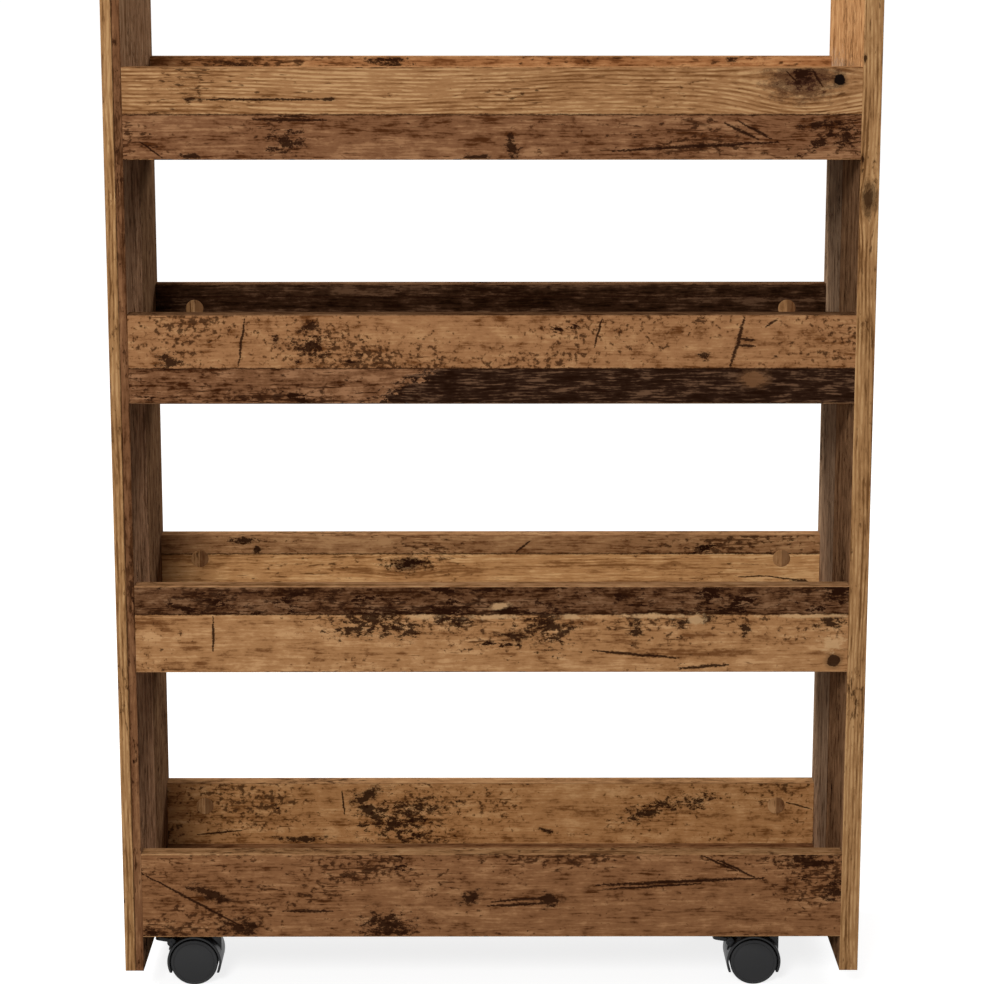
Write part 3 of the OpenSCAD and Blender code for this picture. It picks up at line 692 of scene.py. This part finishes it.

# Print of each back rail, from the lowest. Their tones are set lighter than the print's own, as painted
# light, to make up for the lamps' weaker light at the back of the trays.
BACK_RAILS_WITH_PAINTED_LIGHT = {
    1: dict(
        seed=43.0,
        planks=[
            Plank(
                (110, 70, 36), (168, 121, 76), (194, 150, 102),
                streaks=0.45, fibres=0.4, dashes=0.15, flecks=0.56, fleck_roundness=1.8, stains=0.3,
            ),
        ],
        crowds=[
            crowd(-190, 45, 80, 30, 1.1), crowd(-225, 16, 50, 10, 0.6), crowd(-75, 42, 30, 22, 0.9),
            crowd(-40, 44, 25, 12, 0.6), crowd(50, 40, 60, 40, -0.7), crowd(250, 40, 50, 30, 0.3),
        ],
        dark_marks=[
            stain(-109, 58.8, 14, 5, 0.3, turn=-25), stain(-106.5, 45, 18.5, 5.2, 0.35, turn=48),
            stain(-75, 48, 23, 4.6, 0.7, turn=-7), stain(-82, 34, 17, 10, 1.1),
            scratch(-131, 64, -129, 42, 0.9), scratch(-260, 23.5, -219, 27.5, 1),
            stain(-168, 19.5, 20, 2.5, 0.4), stain(142.5, 46, 20, 5, 0.7, turn=-20),
            stain(180, 53, 12, 4, 0.8, turn=-15), stain(50, 26.5, 7, 1.8, 0.4, turn=15),
            scratch(260, 53, 284, 46.5, 0.9),
        ],
    ),
    2: dict(
        seed=51.0,
        planks=[
            Plank(
                (132, 89, 51), (184, 136, 87), (212, 168, 116), top=54.1,
                streaks=0.8, mottling=0.4, growth_lines=0.35, dashes=0.15, flecks=0.15, stains=0.05,
            ),
            Plank(
                (96, 59, 32), (146, 105, 69), (174, 132, 90),
                flecks=0.45, fleck_roundness=1.4, stains=0.15,
            ),
        ],
        knots=[oval(-72.5, 45, 19, 8.5)],
        crowds=[crowd(130, 64, 70, 12, -1.0), crowd(-215, 64, 30, 8, 0.8)],
        dark_marks=[
            stain(-72.5, 45.5, 12, 4, 0.8), stain(-215, 66, 12, 2.5, 0.5),
            stain(-202.5, 57.5, 4, 3.5, 0.4), scratch(22.5, 56, 35, 66, 1),
            scratch(215, 33.5, 242, 34.2, 0.7), scratch(240, 34.2, 268, 30.8, 0.8),
            stain(268, 30, 6, 1.5, 0.4),
        ],
    ),
    3: dict(
        seed=63.0,
        planks=[
            Plank((24, 11, 4), (48, 29, 17), (88, 63, 45), top=60.1, dashes=0.5, stains=0.2),
            Plank((28, 14, 6), (54, 34, 21), (92, 66, 47), dashes=0.5),
        ],
    ),
    4: dict(
        seed=71.0,
        planks=[Plank((108, 65, 34), (160, 110, 69), (188, 140, 94), dashes=0.35, flecks=0.4, stains=0.2)],
        dark_marks=[
            stain(-210, 62, 13, 4, 0.5), stain(-87.5, 67, 14, 3.5, 0.6), stain(202.5, 69, 5, 3, 0.4),
        ],
    ),
}

SHELF_PLANKS = [
    Plank((92, 57, 32), (144, 102, 65), (170, 128, 86), top=85.0, flecks=0.35, stains=0.25),
    Plank((84, 51, 28), (130, 90, 58), (158, 116, 78), flecks=0.4, stains=0.3),
]

# Side panels: planks across the depth, from the front edge. Their tones hold painted shade, greyer and on the
# right also darker, as of the inner faces between the trays. So the right panel's outer face is multiplied
# lighter than its inner one, and the left one's a little warmer. Their inner faces have a lighter plank above
# the highest tray, which is painted light.
PANEL_PLANKS_WITH_PAINTED_SHADE = {
    "left": [
        Plank((82, 56, 37), (142, 107, 80), (172, 134, 102), top=100.0, dashes=0.5, flecks=0.4, stains=0.4),
        Plank((72, 48, 30), (114, 84, 60), (136, 104, 74), growth_lines=0.3, dashes=0.3, stains=0.3),
    ],
    "right": [
        Plank((80, 52, 31), (134, 98, 69), (164, 124, 88), top=100.0, dashes=0.5, flecks=0.4, stains=0.4),
        Plank((100, 76, 56), (152, 123, 97), (180, 147, 116), growth_lines=0.3, dashes=0.3, stains=0.3),
    ],
}
# Lighter planks on the panels' inner faces above the highest tray: painted light, as falls there from the
# upper left with no tray above, lightest on the right panel.
PANEL_PAINTED_LIGHT_PLANKS = {
    "left": Plank((99, 70, 46), (136, 103, 76), (158, 126, 96), growth_lines=0.3, dashes=0.25),
    "right": Plank((118, 78, 44), (162, 118, 77), (188, 144, 98), growth_lines=0.3, dashes=0.25),
}
# Multiplies each panel's outer face out of the painted shade in its planks.
PANEL_OUTER_LIFT_FROM_PAINTED_SHADE = {"left": (1.0, 0.95, 0.84, 1.0), "right": (1.5, 1.42, 1.25, 1.0)}

RAIL_HEIGHT = 71.0 * MM
BAND_THICKNESS = 0.8 * MM
SHELF_SEED, SHELF_SEED_STEP = 80.0, 9.0
PANEL_SEED, PANEL_SEED_STEP = 140.0, 13.0


def dress(node, material):
    """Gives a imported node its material."""
    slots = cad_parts[node].data.materials
    if len(slots) == 0:
        slots.append(material)
    for number in range(len(slots)):
        slots[number] = material


def dress_boards():
    for face, rails in (("front", FRONT_RAILS), ("back", BACK_RAILS_WITH_PAINTED_LIGHT)):
        for number, looks in rails.items():
            node = f"{face}_rail_{number}"
            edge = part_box(node)[0].z - BAND_THICKNESS
            dress(node, printed_board(f"{face} rail {number} print", X, Z, edge, RAIL_HEIGHT, **looks))
    for number in range(1, 5):
        low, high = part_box(f"shelf_{number}")
        looks = printed_board(
            f"shelf {number} print", X, Y, low.y, high.y - low.y, SHELF_SEED + SHELF_SEED_STEP * number,
            SHELF_PLANKS,
        )
        dress(f"shelf_{number}", looks)
    tray_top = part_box("front_rail_4")[1].z
    # Past this line, at the highest tray's top, the panels' inner faces take the plank of painted light.
    painted_light_line = dict(start=tray_top - 4.0 * MM, end=tray_top + 2.0 * MM, low=0.0, high=1.0)
    for number, side in enumerate(("left", "right")):
        low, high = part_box(f"side_panel_{side}")
        looks = printed_board(
            f"{side} side panel print", Z, Y, low.y, high.y - low.y, PANEL_SEED + PANEL_SEED_STEP * number,
            PANEL_PLANKS_WITH_PAINTED_SHADE[side], ink_and_light_overlay=(PANEL_PAINTED_LIGHT_PLANKS[side], painted_light_line), outer_lift_from_painted_shade=PANEL_OUTER_LIFT_FROM_PAINTED_SHADE[side],
        )
        dress(f"side_panel_{side}", looks)


# Edge bands

# Tones of the rails' bands for each tray, from the lowest
RAIL_BAND_TONES = [
    ((104, 70, 42), (148, 108, 71), (170, 130, 90)),
    ((106, 72, 43), (150, 109, 73), (172, 132, 92)),
    ((62, 38, 22), (98, 68, 45), (126, 92, 64)),
    ((98, 64, 37), (142, 101, 65), (166, 124, 84)),
]
BELOW_TRAY = 20.0 * MM
RAIL_BAND_SEEDS_PER_METRE = 40.0


def rail_band_print():
    """Bands of all rails; a tray's tones start a little below its rails."""
    material, s, surface = new_material("rail edge band print")
    along, depth, place = board_axes(s, X, Y)
    height = place[Z]
    shades = [tone(*levels) for levels in RAIL_BAND_TONES[0]]
    for number, tones in enumerate(RAIL_BAND_TONES[1:], start=2):
        above = s.math("GREATER_THAN", height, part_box(f"front_rail_{number}")[0].z - BELOW_TRAY)
        shades = [s.blend(above, shade, tone(*levels)) for shade, levels in zip(shades, tones)]
    dark, middle, light = shades
    seed = s.times(height, RAIL_BAND_SEEDS_PER_METRE)
    printed = s.use(
        WOOD_PRINT, Along=along, Across=depth, Seed=seed, Dark=dark, Middle=middle, Light=light, Soot=SOOT,
        Streaks=0.7, Growth_Lines=0.2, Fibres=0.5,
    )
    finish_print(s, surface, printed["Color"], printed["Fibre"], printed["Fibre"])
    return material


HONEY_PLANK = Plank(
    (104, 70, 40), (152, 112, 72), (178, 138, 94),
    streaks=0.8, mottling=0.25, growth_lines=0.9, dashes=0.25, flecks=0.2, stains=0.08,
)
BROWN_PLANK = Plank(
    (70, 42, 23), (112, 75, 49), (138, 98, 66),
    streaks=0.7, mottling=0.4, growth_lines=0.2, fibres=0.5, dashes=0.5, flecks=0.4, stains=0.25,
)
PANEL_BAND_SEEDS_PER_METRE = 14.0
BROWN_SEED_STEP = 50.0
BAND_LINE_X = -291.5 * MM
BAND_KNOT = oval(655, 292.5, 17, 7.5)
BAND_NOTCHES = (stain(763, 286.5, 3.5, 1.5, 0.2), stain(686, 286.5, 3.5, 1.5, 0.2))


def panel_band_print():
    """Bands of both panels: honey print; the left one has a brown inner strip past a dark line."""
    material, s, surface = new_material("panel edge band print")
    along, across, place = board_axes(s, Z, X)
    depth = place[Y]
    fray = s.grain_noise(along, across, 4.0, 60.0, 160.0, 5, 0.7)
    flat_place = s.combine(along, across)
    knot = s.use(KNOT_MARK, Place=flat_place, Fray=fray, **BAND_KNOT)
    honey_seed = s.times(depth, PANEL_BAND_SEEDS_PER_METRE)
    honey = HONEY_PLANK.printed(s, along, s.math("ADD", across, knot["Bend"]), honey_seed)
    brown_seed = s.times_add(depth, PANEL_BAND_SEEDS_PER_METRE, BROWN_SEED_STEP)
    brown = BROWN_PLANK.printed(s, along, across, brown_seed)
    past_line = s.minus(across, BAND_LINE_X)
    inner = s.times(s.math("GREATER_THAN", past_line, 0.0), s.math("LESS_THAN", across, 0.0))
    colour = s.blend(inner, honey["Color"], brown["Color"])
    from_line = s.times_add(fray, 0.12 * MM, s.math("ABSOLUTE", past_line))
    line = s.step(from_line, 0.8 * MM, 0.1 * MM)
    marks = s.largest(s.times(line, 0.8), knot["Mask"])
    for notch in BAND_NOTCHES:
        marks = s.largest(marks, mark_mask(s, notch, flat_place, fray, fray))
    colour = s.blend(s.times(marks, 0.9), colour, SOOT)
    finish_print(s, surface, colour, honey["Fibre"], honey["Fibre"])
    return material


# Hardware materials

CAP_RADIUS = 7.47 * MM
CAP_THICKNESS = 1.3 * MM
CAP_SEED = 5.0
CAP_PLANK = Plank(
    (116, 78, 46), (160, 118, 77), (180, 138, 95),
    streaks=0.8, growth_lines=0.3, fibres=0.5, flecks=0.2, stains=0.0,
)
CAP_DARK_HALF = tone(88, 54, 33)

BEECH_SEED = 9.0
BEECH_PLANK = Plank((186, 150, 104), (208, 174, 126), (222, 192, 148), growth_lines=0.3, stains=0.0)
BEECH_SOOT = tone(140, 100, 62)


def moulded(name, base, scuff, roughness, pebble=1800.0):
    material, s, surface = new_material(name)
    skin = s.use(
        MOULDED_SKIN, Place=s.object_place(), Base=base, Scuff=scuff, Pebble_Scale=pebble, Roughness=roughness
    )
    surface["Specular IOR Level"].default_value = 0.3
    finish_surface(s, surface, skin["Color"], skin["Roughness"], skin["Height"], (0.2, 0.1 * MM))
    return material


def bright_metal(name, base, dull, roughness):
    material, s, surface = new_material(name)
    skin = s.use(DRAWN_METAL, Place=s.object_place(), Base=base, Dull=dull, Roughness=roughness)
    surface["Metallic"].default_value = 1.0
    finish_surface(s, surface, skin["Color"], skin["Roughness"], skin["Height"], (0.15, 0.05 * MM))
    return material


def cap_print():
    """Caps over the cam locks: upright grain, with the half towards +X a darker plank."""
    material, s, surface = new_material("cap print")
    along, across, _ = board_axes(s, Z, X)
    low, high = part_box("cam_caps")
    reach = (high.x - low.x) / 2.0 - CAP_RADIUS
    from_middle = s.math("ABSOLUTE", s.minus(across, (high.x + low.x) / 2.0))
    past_centre = s.times(s.minus(from_middle, reach), s.math("SIGN", across))
    printed = CAP_PLANK.printed(s, along, across, CAP_SEED)
    darker = s.times(s.step(past_centre, -0.3 * MM, 0.5 * MM), 0.6)
    colour = s.blend(darker, printed["Color"], CAP_DARK_HALF)
    finish_print(s, surface, colour, printed["Fibre"], printed["Fibre"], 0.55, (0.2, 0.03 * MM))
    return material


def beech():
    material, s, surface = new_material("plain beech")
    along, across, _ = board_axes(s, X, Z)
    printed = BEECH_PLANK.printed(s, along, across, BEECH_SEED, soot=BEECH_SOOT)
    roughness = s.times_add(printed["Fibre"], 0.04, 0.6)
    finish_surface(s, surface, printed["Color"], roughness, printed["Fibre"], (0.3, 0.03 * MM))
    return material


# Modelled pieces

MERGE_DISTANCE = 0.001 * MM
FLAT_DEG = 0.6
CORNER_DEG = 60.0
SOFTENED_DEG = 50.0


def finish_piece(name, shape, body, nodes, material, sharp_deg=32.0):
    """Turns a bmesh into a smooth-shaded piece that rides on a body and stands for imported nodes."""
    mesh = mesh_of(shape, name)
    mesh.shade_smooth()
    mesh.set_sharp_from_angle(angle=math.radians(sharp_deg))
    mesh.materials.append(material)
    piece = add_object(name, mesh)
    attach(piece, body)
    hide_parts(*nodes)


def edges_by_angle(shape, least_deg):
    """Edges whose two faces meet at more than least_deg."""
    limit = math.radians(least_deg)
    return [e for e in shape.edges if len(e.link_faces) == 2 and e.calc_face_angle(0.0) > limit]


def round_edges(shape, edges, width, segments):
    bmesh.ops.bevel(
        shape, geom=edges, offset=width, offset_type="OFFSET", segments=segments, profile=0.5,
        affect="EDGES", clamp_overlap=True, material=-1,
    )


def lathe(profile, centre, axis, steps):
    """Closed turned shape. profile holds (radius, place along the axis) pairs; centre lies on the axis."""
    shape = bmesh.new()
    axis = Vector(axis)
    side = axis.orthogonal().normalized()
    points = [shape.verts.new(Vector(centre) + side * r + axis * a) for r, a in profile]
    edges = [shape.edges.new(pair) for pair in zip(points, points[1:])]
    bmesh.ops.spin(
        shape, geom=points + edges, cent=centre, axis=axis, dvec=ORIGIN, angle=2.0 * math.pi, steps=steps,
        use_merge=True, use_duplicate=False,
    )
    bmesh.ops.remove_doubles(shape, verts=shape.verts, dist=MERGE_DISTANCE)
    bmesh.ops.recalc_face_normals(shape, faces=shape.faces)
    return shape


def merged_copy(node):
    """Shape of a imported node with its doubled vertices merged."""
    shape = bmesh.new()
    shape.from_mesh(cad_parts[node].data)
    bmesh.ops.remove_doubles(shape, verts=shape.verts, dist=MERGE_DISTANCE)
    return shape


def join_shapes(shapes):
    """One bmesh that holds all of the given ones."""
    whole = bmesh.new()
    for shape in shapes:
        mesh = mesh_of(shape, "part")
        whole.from_mesh(mesh)
        bpy.data.meshes.remove(mesh)
    return whole


def softened_copy(node, body, material, width):
    """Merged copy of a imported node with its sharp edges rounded."""
    shape = merged_copy(node)
    bmesh.ops.dissolve_limit(
        shape, angle_limit=math.radians(FLAT_DEG), use_dissolve_boundaries=False, verts=shape.verts,
        edges=shape.edges,
    )
    round_edges(shape, edges_by_angle(shape, SOFTENED_DEG), width, segments=2)
    finish_piece(f"{node}_dressed", shape, body, [node], material, sharp_deg=40.0)


WHEEL_RADIUS = 19.5 * MM
WHEEL_WIDTH = 12.0 * MM
DISC = 1.8 * MM
RIM = 2.5 * MM
BORE = 2.55 * MM
HUB = 5.5 * MM
GROOVE_RADIUS = 16.3 * MM
GROOVE_WIDTH = 0.8 * MM
GROOVE_DEPTH = 0.4 * MM
RIB_COUNT = 6
RIB_THICKNESS = 1.2 * MM
RIB_INSET = 3.6 * MM
RIB_OVERLAP = 0.5 * MM
RIB_ROUNDING = 0.2 * MM
TREAD_ROUNDING = 1.0 * MM
SMALL_ROUNDING = 0.15 * MM
TREAD_MARGIN = 0.01 * MM


def wheel_rib(number, centre, outward):
    """One of the ribs between hub and rim; it runs from its inset to the disc."""
    length = WHEEL_RADIUS - RIM - HUB + 2.0 * RIB_OVERLAP
    disc_y = WHEEL_WIDTH - DISC
    middle = (HUB - RIB_OVERLAP + length / 2.0, outward * (RIB_INSET + disc_y) / 2.0, 0.0)
    rib = bmesh.new()
    bmesh.ops.create_cube(rib, size=1.0)
    bmesh.ops.scale(rib, vec=(length, disc_y - RIB_INSET, RIB_THICKNESS), verts=rib.verts)
    round_edges(rib, rib.edges[:], RIB_ROUNDING, segments=2)
    bmesh.ops.translate(rib, vec=middle, verts=rib.verts)
    turn = Matrix.Rotation(number * 2.0 * math.pi / RIB_COUNT, 3, "Y")
    bmesh.ops.rotate(rib, cent=ORIGIN, matrix=turn, verts=rib.verts)
    bmesh.ops.translate(rib, vec=centre, verts=rib.verts)
    return rib


def make_wheel(name, body, material):
    """Closed disc outside with its ring groove, hub and ribs inside, rounded tread."""
    low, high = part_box(name)
    middle = (low + high) / 2.0
    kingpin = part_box(name.rsplit("_wheel", 1)[0] + "_kingpin")
    outward = 1.0 if middle.y > (kingpin[0].y + kingpin[1].y) / 2.0 else -1.0
    centre = Vector((middle.x, middle.y - outward * WHEEL_WIDTH / 2.0, middle.z))
    disc_y = WHEEL_WIDTH - DISC
    inside = [
        (0.0, disc_y), (BORE, disc_y), (BORE, 0.0), (HUB, 0.0), (HUB, disc_y),
        (WHEEL_RADIUS - RIM, disc_y), (WHEEL_RADIUS - RIM, 0.0), (WHEEL_RADIUS, 0.0),
    ]
    outer_face = [
        (WHEEL_RADIUS, WHEEL_WIDTH),
        (GROOVE_RADIUS + GROOVE_WIDTH, WHEEL_WIDTH),
        (GROOVE_RADIUS + GROOVE_WIDTH, WHEEL_WIDTH - GROOVE_DEPTH),
        (GROOVE_RADIUS, WHEEL_WIDTH - GROOVE_DEPTH),
        (GROOVE_RADIUS, WHEEL_WIDTH),
        (0.0, WHEEL_WIDTH),
    ]
    turned = lathe(inside + outer_face, centre, (0.0, outward, 0.0), steps=72)

    def on_tread(vert):
        return math.hypot(vert.co.x - centre.x, vert.co.z - centre.z) > WHEEL_RADIUS - TREAD_MARGIN

    tread = [e for e in edges_by_angle(turned, CORNER_DEG) if all(on_tread(v) for v in e.verts)]
    round_edges(turned, tread, TREAD_ROUNDING, segments=4)
    round_edges(turned, edges_by_angle(turned, CORNER_DEG), SMALL_ROUNDING, segments=2)
    ribs = [wheel_rib(number, centre, outward) for number in range(RIB_COUNT)]
    shape = join_shapes([turned, *ribs])
    finish_piece(f"{name}_dressed", shape, body, [name], material)


def island_centres(shape):
    """Middle of the box round each connected part of a shape."""
    centres = []
    todo = set(shape.verts)
    while todo:
        island, queue = set(), [todo.pop()]
        while queue:
            vert = queue.pop()
            island.add(vert)
            for edge in vert.link_edges:
                other = edge.other_vert(vert)
                if other in todo:
                    todo.discard(other)
                    queue.append(other)
        low = Vector([min(v.co[axis] for v in island) for axis in (X, Y, Z)])
        high = Vector([max(v.co[axis] for v in island) for axis in (X, Y, Z)])
        centres.append((low + high) / 2.0)
    return centres


CAP_SINK = 0.12 * MM
CAP_SINK_SHARES = (0.86, 0.82)
CAP_ROUNDING = 0.25 * MM
CAP_PROFILE = [
    (0.0, 0.0),
    (CAP_RADIUS, 0.0),
    (CAP_RADIUS, CAP_THICKNESS),
    (CAP_RADIUS * CAP_SINK_SHARES[0], CAP_THICKNESS),
    (CAP_RADIUS * CAP_SINK_SHARES[1], CAP_THICKNESS - CAP_SINK),
    (0.0, CAP_THICKNESS - CAP_SINK),
]


def make_cap(centre):
    """Thin disc with a rounded rim and a slightly sunk middle; it faces the trolley's middle."""
    axis = Vector((0.0, -1.0 if centre.y > 0.0 else 1.0, 0.0))
    base = centre - axis * CAP_THICKNESS / 2.0
    cap = lathe(CAP_PROFILE, base, axis, steps=40)

    def on_face(vert):
        return (vert.co - base).dot(axis) > CAP_THICKNESS * 0.9

    rim = [e for e in edges_by_angle(cap, CORNER_DEG) if all(on_face(v) for v in e.verts)]
    round_edges(cap, rim, CAP_ROUNDING, segments=3)
    return cap


def make_caps(material):
    packed = merged_copy("cam_caps")
    centres = island_centres(packed)
    packed.free()
    shape = join_shapes([make_cap(centre) for centre in centres])
    finish_piece("cam_caps_dressed", shape, "frame", ["cam_caps"], material)


# Floor and light

FLOOR_SIZE = 60.0
FLOOR_TONES = (tone(146, 146, 146), tone(154, 154, 154))
FLOOR_GLOW = dict(start=0.8, end=5.0, low=0.82, high=0.95)
AMBIENT = 0.33

# Name, place, target, size in metres and power in watts
LAMPS = (
    ("key lamp", (-0.7, -2.83, 2.0), (0.0, 0.0, 0.45), 1.0, 80.0),
    ("side lamp", (-2.2, 0.3, 2.7), (0.285, 0.0, 0.8), 1.5, 112.0),
    ("back lamp", (1.8, 2.5, 1.9), (0.0, 0.0, 0.4), 1.4, 62.0),
)


def seen_by_camera(s):
    """One for rays of the camera and of mirror-like surfaces, else zero."""
    path = s.add("ShaderNodeLightPath").outputs
    mirrored = s.largest(path["Is Glossy Ray"], path["Is Transmission Ray"])
    return s.largest(path["Is Camera Ray"], mirrored)


def make_floor():
    """Mid-grey floor that glows for the camera, so it looks white and still takes the trolley's shadow."""
    shape = bmesh.new()
    bmesh.ops.create_grid(shape, x_segments=8, y_segments=8, size=FLOOR_SIZE)
    mesh = mesh_of(shape, "floor")
    material, s, surface = new_material("pale floor")
    place = s.object_place()
    cloud = s.cloud(place, (3.0, 3.0, 3.0), 3, 0.5)
    s.feed(surface["Base Color"], s.blend(cloud, *FLOOR_TONES))
    s.feed(surface["Roughness"], s.times_add(cloud, 0.1, 0.8))
    surface["Specular IOR Level"].default_value = 0.0
    glow = s.step(s.vector("LENGTH", place), **FLOOR_GLOW)
    surface["Emission Color"].default_value = WHITE
    s.feed(surface["Emission Strength"], s.times(seen_by_camera(s), glow))
    mesh.materials.append(material)
    add_object("floor", mesh)


def make_world():
    """White studio for the camera, with a weaker light on the trolley."""
    world = bpy.data.worlds.new("studio")
    world.use_nodes = True
    bpy.context.scene.world = world
    s = Shading(world.node_tree)
    background = world.node_tree.nodes["Background"].inputs
    background["Color"].default_value = WHITE
    s.feed(background["Strength"], s.times_add(seen_by_camera(s), 1.0 - AMBIENT, AMBIENT))


def make_lamp(name, place, target, size, power):
    data = bpy.data.lights.new(name, "AREA")
    data.shape = "DISK"
    data.size = size
    data.energy = power
    lamp = add_object(name, data)
    lamp.location = place
    lamp.rotation_euler = (Vector(target) - Vector(place)).to_track_quat("-Z", "Y").to_euler()


# The trolley


def dress_casters():
    hood_skin = moulded("hood plastic", tone(20, 20, 21), tone(46, 46, 47), 0.42)
    wheel_skin = moulded("wheel plastic", tone(18, 18, 19), tone(42, 42, 43), 0.5)
    lever_skin = moulded("lever plastic", tone(19, 19, 20), tone(44, 44, 45), 0.4)
    plate_skin = moulded("plate powder coat", tone(24, 24, 25), tone(52, 52, 54), 0.5, pebble=2600.0)
    blacked = bright_metal("blacked steel", tone(66, 66, 68), tone(48, 48, 50), 0.45)
    steel = bright_metal("bright steel", tone(196, 198, 202), tone(150, 152, 156), 0.28)
    for corner in CORNERS:
        softened_copy(f"{corner}_hood", f"{corner}_fork", hood_skin, 0.2 * MM)
        softened_copy(f"{corner}_plate", "frame", plate_skin, 0.25 * MM)
        for side in ("outer", "inner"):
            make_wheel(f"{corner}_wheel_{side}", f"{corner}_wheel_{side}_body", wheel_skin)
        for piece in ("kingpin", "axle"):
            dress(f"{corner}_{piece}", steel)
        if corner.startswith("front"):
            softened_copy(f"{corner}_brake_lever", f"{corner}_lever", lever_skin, 0.3 * MM)
            dress(f"{corner}_brake_pin", blacked)


def dress_fittings():
    zinc = bright_metal("die-cast zinc", tone(182, 184, 186), tone(140, 142, 146), 0.45)
    plated = bright_metal("plated steel", tone(190, 192, 196), tone(146, 148, 152), 0.35)
    wood = beech()
    dress("cam_locks", zinc)
    for node in ("cam_bolts", "caster_screws"):
        dress(node, plated)
    for node in ("rail_end_dowels", "shelf_end_dowels", "tray_dowels"):
        dress(node, wood)
    make_caps(cap_print())


def main():
    make_camera()
    bpy.context.scene.view_settings.view_transform = "Standard"
    dress_boards()
    dress("rail_edge_bands", rail_band_print())
    dress("panel_edge_bands", panel_band_print())
    dress_casters()
    dress_fittings()
    make_floor()
    make_world()
    for lamp in LAMPS:
        make_lamp(*lamp)


main()
